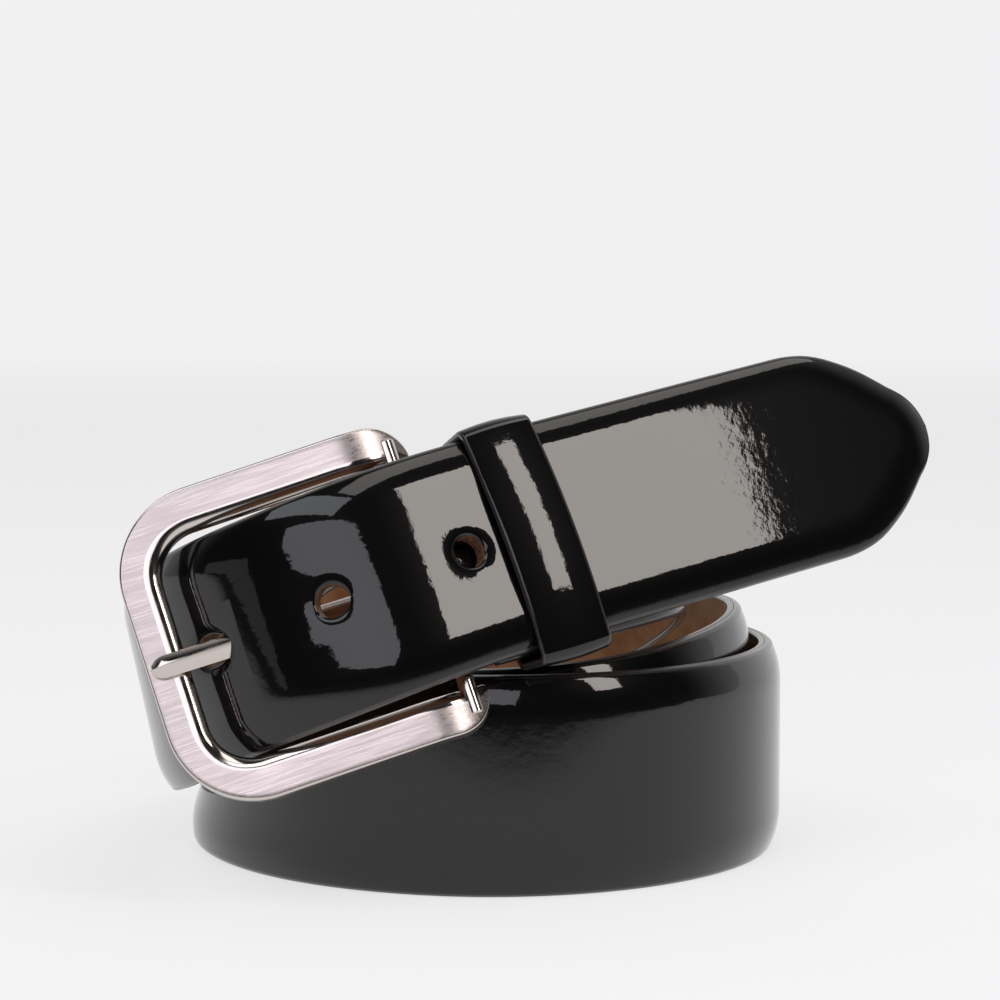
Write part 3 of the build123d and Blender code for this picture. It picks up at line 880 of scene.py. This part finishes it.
def fold():
    """The folded end round the heel bar: two bands and the bridges beyond the slot."""
    bridge = (LEG_LENGTH - SLOT_END) / (math.pi * FOLD_OUTER + 2 * LEG_LENGTH)
    bridge_low, bridge_high = SLOT_LOW - BRIDGE_OVERLAP, SLOT_HIGH + BRIDGE_OVERLAP
    bands = (
        (-FOLD_HALF, SLOT_LOW, 0, 1, BAND_ROWS), (SLOT_HIGH, FOLD_HALF, 0, 1, BAND_ROWS),
        (bridge_low, bridge_high, 0, bridge, BRIDGE_ROWS),
        (bridge_low, bridge_high, 1 - bridge, 1, BRIDGE_ROWS),
    )
    parts = []
    kinds = []
    for low, high, first, last, count in bands:
        rows = [
            [(x - nx * d, y - ny * d, z) for z, d in sheet_loop(low, high, SHEET)]
            for x, y, nx, ny in fold_path(first, last, count)
        ]
        points, faces = loops_to_mesh(rows)
        parts.append((points, outward(points, faces)))
        kinds += SHEET_KINDS * (count - 1) + [1, 1]
    points, faces = joined(parts)
    piece = new_piece("strap_fold", points, faces, kinds, [PATENT, EDGE, LINING], FOLD)
    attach(piece, "strap")
    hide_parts("strap_fold")


# Where the turned-back end makes room for the keeper's back: it steps out between the first
# two places and in again between the last two
KEEPER_ROOM = (0.95, 1.3, 2.9, 3.5)
KEEPER_DEPTH = 3.0
TURNBACK_END = 5.3
TURNBACK_ROWS = 70
TURNBACK_GAP = 0.05


def smooth_step(value, low, high):
    t = np.clip((value - low) / (high - low), 0, 1)
    return t * t * (3 - 2 * t)


def turnback():
    """The turned-back end behind the lining."""
    section = sheet_loop(-FOLD_HALF, FOLD_HALF, SHEET)
    v = [a for a, _ in section]
    rows = []
    for u in np.linspace(BUCKLE_END_U, TURNBACK_END, TURNBACK_ROWS):
        step = smooth_step(u, *KEEPER_ROOM[:2]) - smooth_step(u, *KEEPER_ROOM[2:])
        base = -TURNBACK_GAP - step * KEEPER_DEPTH - SHEET
        rows.append(strap_points([u] * len(v), v, [base + d for _, d in section]))
    points, faces = loops_to_mesh(rows)
    kinds = SHEET_KINDS * (len(rows) - 1) + [1, 1]
    piece = new_piece("strap_turnback", points, outward(points, faces), kinds, [PATENT, EDGE, LINING])
    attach(piece, "strap")
    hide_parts("strap_turnback")


THREAD_RADIUS = 0.33
STITCH_ROWS_U = (3.9, 4.9)
STITCH_COUNT = 7
STITCH_SPACING = 3.2
FIRST_STITCH = 9.6
STITCH_HALF = 1.25
STITCH_SAG = 0.35
STITCH_FRONT = 4.2
STITCH_BACK = -1.85


def capsule(start, end, radius, side, up, sag):
    """A round-ended thread from start to end, its ends sunk by sag."""
    rows = []
    span = end - start
    for t in np.linspace(0, 1, 13):
        size = radius * math.sqrt(max(1 - (2 * t - 1) ** 8, 0.03))
        middle = start + span * t - up * sag * (2 * t - 1) ** 4
        rows.append([middle + size * (side * math.cos(a) + up * math.sin(a)) for a in CIRCLE[::3]])
    points, faces = loops_to_mesh(rows)
    return points, outward(points, faces)


def stitches():
    """Two rows of stitches through the turned-back end, in front and behind."""
    parts = []
    for u in STITCH_ROWS_U:
        origin, across, out, along = (a[0] for a in sections(u))
        half = across * STITCH_HALF
        for height, up in ((STITCH_FRONT, out), (STITCH_BACK, -out)):
            for i in range(STITCH_COUNT):
                middle = origin + across * (i * STITCH_SPACING - FIRST_STITCH) + out * height
                parts.append(capsule(middle - half, middle + half, THREAD_RADIUS, along, up, STITCH_SAG))
    points, faces = joined(parts)
    piece = new_piece("turnback_stitches", points, faces, [0] * len(faces), [THREAD])
    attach(piece, "strap")
    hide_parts("turnback_stitches")


KEEPER_CORNERS = np.array([(-19.4, 2.9), (-18.2, -4.85), (17.7, -4.85), (17.7, 2.9)])
KEEPER_ROUNDING = 0.9
KEEPER_CROWN = 1.7
CROWN_SHARE = 0.93


def keeper_path():
    """Skeleton points and outward normals round the keeper's loop."""
    low, back_low, back_high, high = KEEPER_CORNERS
    chord = high[0] - low[0]
    radius = (chord**2 / 4 + KEEPER_CROWN**2) / (2 * KEEPER_CROWN)
    centre = np.array([(high[0] + low[0]) / 2, low[1] + KEEPER_CROWN - radius])
    normals = []
    for a, b in ((low, back_low), (back_low, back_high), (back_high, high)):
        d = (b - a) / math.hypot(*(b - a))
        normals.append(np.array([d[1], -d[0]]))
    normals = [(low - centre) / radius, *normals, (high - centre) / radius]
    joints = list(zip(normals, normals[1:]))
    path = []
    for i, (corner, (n1, n2)) in enumerate(zip(KEEPER_CORNERS, joints)):
        middle = corner - KEEPER_ROUNDING * (n1 + n2) / (1 + np.dot(n1, n2))
        a1, a2 = math.atan2(n1[1], n1[0]), math.atan2(n2[1], n2[0])
        sweep = (a2 - a1) % (2 * math.pi)
        path += [(middle, np.array([math.cos(a), math.sin(a)])) for a in a1 + np.linspace(0, sweep, 9)]
        if i < len(joints) - 1:
            n3 = joints[i + 1][1]
            following = KEEPER_CORNERS[i + 1] - KEEPER_ROUNDING * (n2 + n3) / (1 + np.dot(n2, n3))
            for t in np.linspace(0, 1, 10)[1:-1]:
                path.append((middle * (1 - t) + following * t, n2))
    half = math.asin(chord / 2 / radius) * CROWN_SHARE
    for a in np.linspace(half, -half, 24):
        n = np.array([math.sin(a), math.cos(a)])
        path.append((centre + (radius - KEEPER_ROUNDING) * n, n))
    return path


# The keeper's section: (along the strap, out from its inner side). Its edges are painted.
KEEPER_SECTION = (
    (-5.95, 0.0), (-6.12, 0.22), (-6.15, 0.62), (-6.1, 0.96), (-5.9, 1.14), (-5.6, 1.2), (-4.8, 1.3),
    (-3.8, 1.4), (-2.6, 1.5), (-1.3, 1.57), (0.0, 1.6), (1.3, 1.57), (2.6, 1.5), (3.8, 1.4),
    (4.8, 1.3), (5.6, 1.2), (5.9, 1.14), (6.1, 0.96), (6.15, 0.62), (6.12, 0.22), (5.95, 0.0),
)
KEEPER_KINDS = [1] * 4 + [0] * 11 + [1] * 6

STAPLE_START = np.array([-4.85, -6.8, 0.0])
STAPLE_END = np.array([3.15, -6.8, 0.0])
STAPLE_RADIUS = 0.33
STAPLE_SAG = 0.5


def keeper():
    """The crowned loop with painted edges, and the staple across its butted ends."""
    rows = []
    for middle, normal in keeper_path():
        row = []
        for z, h in KEEPER_SECTION:
            x, y = middle + normal * (KEEPER_ROUNDING + h)
            row.append((x, y, z))
        rows.append(row)
    points, faces = loops_to_mesh(rows, True)
    kinds = KEEPER_KINDS * len(rows)
    piece = new_piece("keeper", points, outward(points, faces), kinds, [PATENT, EDGE], KEEPER)
    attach(piece, "strap")
    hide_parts("keeper")
    side, up = np.array([0.0, 0.0, 1.0]), np.array([0.0, -1.0, 0.0])
    points, faces = capsule(STAPLE_START, STAPLE_END, STAPLE_RADIUS, side, up, STAPLE_SAG)
    staple = new_piece("keeper_staple", points, faces, [0] * len(faces), [POLISHED], KEEPER)
    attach(staple, "strap")
    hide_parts("keeper_staple")


fold()
turnback()
stitches()
keeper()

# ---------------------------------------------------------------- camera, light and floor

CAMERA_PLACE = (AXIS[0] + 4.15, AXIS[1] - 553.1, 104.6)
CAMERA_PITCH = 4.736
LENS = 117.35
SENSOR_WIDTH = 36.0
CLIP_END = 50.0

# In metres: where the lights point, and the floor with its curved rise to a wall
AIM = Vector((0.0, 0.0, 0.045))
FLOOR_REACH = 6.0
WALL_START = 2.2
WALL_BEND = 0.8
WALL_HEIGHT = 4.0

# The floor and the world fade to dark in front of the belt, out of the camera's sight,
# because the glossy leather mirrors them there and is near black in the photo
FLOOR_GLOW = 0.69
FLOOR_SHADE = 0.3
WALL_GLOW = 0.80
WALL_GLOW_RANGE = (0.9, 3.2)
DARK_GLOW = 0.02
DARK_SHADE = 0.03
DARK_RANGE = (-0.34, -0.14)
WORLD_GLOW = 0.6
WORLD_RANGE = (-0.1, 0.5)


def add_camera():
    camera = bpy.data.objects.new("camera", bpy.data.cameras.new("camera"))
    camera.data.lens = LENS
    camera.data.sensor_width = SENSOR_WIDTH
    camera.data.clip_end = CLIP_END
    camera.location = Vector(CAMERA_PLACE) * MM
    camera.rotation_euler = (math.radians(90 - CAMERA_PITCH), 0, 0)
    bpy.context.scene.collection.objects.link(camera)
    bpy.context.scene.camera = camera


def add_softbox(name, azimuth, elevation, size, radiance, distance=1.5, color=(1, 1, 1)):
    """A rectangular light that the belt sees at an azimuth, to the right of straight ahead,
    and at an elevation, both in degrees. size is in degrees too."""
    a, e = math.radians(azimuth), math.radians(elevation)
    toward = Vector((math.sin(a) * math.cos(e), -math.cos(a) * math.cos(e), math.sin(e)))
    place = toward * distance + AIM
    light = bpy.data.lights.new(name, "AREA")
    light.shape = "RECTANGLE"
    light.size, light.size_y = (2 * distance * math.tan(math.radians(s / 2)) for s in size)
    light.energy = radiance * math.pi * light.size * light.size_y
    light.color = color
    lamp = bpy.data.objects.new(name, light)
    lamp.location = place
    lamp.rotation_euler = (AIM - place).to_track_quat("-Z", "Y").to_euler()
    bpy.context.scene.collection.objects.link(lamp)


def by_direction(tree, source, low, high, start, end):
    """A value that runs smoothly from low to high along Y of the given coordinates."""
    place = tree.nodes.new("ShaderNodeTexCoord")
    split = tree.nodes.new("ShaderNodeSeparateXYZ")
    reach = tree.nodes.new("ShaderNodeMapRange")
    reach.interpolation_type = "SMOOTHSTEP"
    for socket, value in (("From Min", start), ("From Max", end), ("To Min", low), ("To Max", high)):
        reach.inputs[socket].default_value = value
    tree.links.new(place.outputs[source], split.inputs["Vector"])
    tree.links.new(split.outputs["Y"], reach.inputs["Value"])
    return reach.outputs["Result"]


def floor_material():
    """A pale glowing floor that fades to dark in front of the belt."""
    material = new_material("floor", (FLOOR_SHADE,) * 3, 1.0, Specular_IOR_Level=0.0)
    tree = material.node_tree
    shader = tree.nodes["Principled BSDF"]
    shader.inputs["Emission Color"].default_value = (1, 1, 1, 1)
    glow = by_direction(tree, "Object", DARK_GLOW, FLOOR_GLOW, *DARK_RANGE)
    wall_glow = by_direction(tree, "Object", 0.0, WALL_GLOW - FLOOR_GLOW, *WALL_GLOW_RANGE)
    shade = by_direction(tree, "Object", DARK_SHADE, FLOOR_SHADE, *DARK_RANGE)
    total = node(material, "ShaderNodeMath", operation="ADD")
    tree.links.new(shade, shader.inputs["Base Color"])
    tree.links.new(glow, total.inputs[0])
    tree.links.new(wall_glow, total.inputs[1])
    link(material, total, "Value", shader, "Emission Strength")
    return material


def add_floor():
    """The floor, which rises behind the belt into a wall."""
    profile = [(-FLOOR_REACH, 0.0), (WALL_START, 0.0)]
    for a in np.linspace(0.1, math.pi / 2, 12):
        profile.append((WALL_START + WALL_BEND * math.sin(a), WALL_BEND * (1 - math.cos(a))))
    profile.append((WALL_START + WALL_BEND, WALL_HEIGHT))
    points = [(x, y, z) for y, z in profile for x in (-FLOOR_REACH, FLOOR_REACH)]
    faces = [(2 * i, 2 * i + 1, 2 * i + 3, 2 * i + 2) for i in range(len(profile) - 1)]
    mesh = bpy.data.meshes.new("floor")
    mesh.from_pydata(points, [], faces)
    mesh.polygons.foreach_set("use_smooth", np.ones(len(faces), bool))
    mesh.materials.append(floor_material())
    floor = bpy.data.objects.new("floor", mesh)
    bpy.context.scene.collection.objects.link(floor)


def add_world():
    """A studio that is dark in front and pale behind."""
    world = bpy.data.worlds.new("studio")
    world.use_nodes = True
    background = world.node_tree.nodes["Background"]
    glow = by_direction(world.node_tree, "Generated", DARK_GLOW, WORLD_GLOW, *WORLD_RANGE)
    world.node_tree.links.new(glow, background.inputs["Strength"])
    background.inputs["Color"].default_value = (1, 1, 1, 1)
    bpy.context.scene.world = world


add_camera()
add_floor()
add_world()
add_softbox("tail_key", 49.3, 37, (10.5, 28), 7.2, 0.7, color=(1.0, 0.94, 0.89))
add_softbox("front_fill", -12, 23, (50, 20), 1.9, color=(0.97, 0.93, 1.0))
add_softbox("upper_left", -36, 52, (50, 20), 2.2, color=(0.92, 0.95, 1.0))
add_softbox("overhead", 60, 74, (50, 16), 2.0, color=(1.0, 0.95, 0.9))
add_softbox("left_wall", -68, 0, (24, 12), 0.35)
bpy.context.scene.view_settings.view_transform = "Standard"
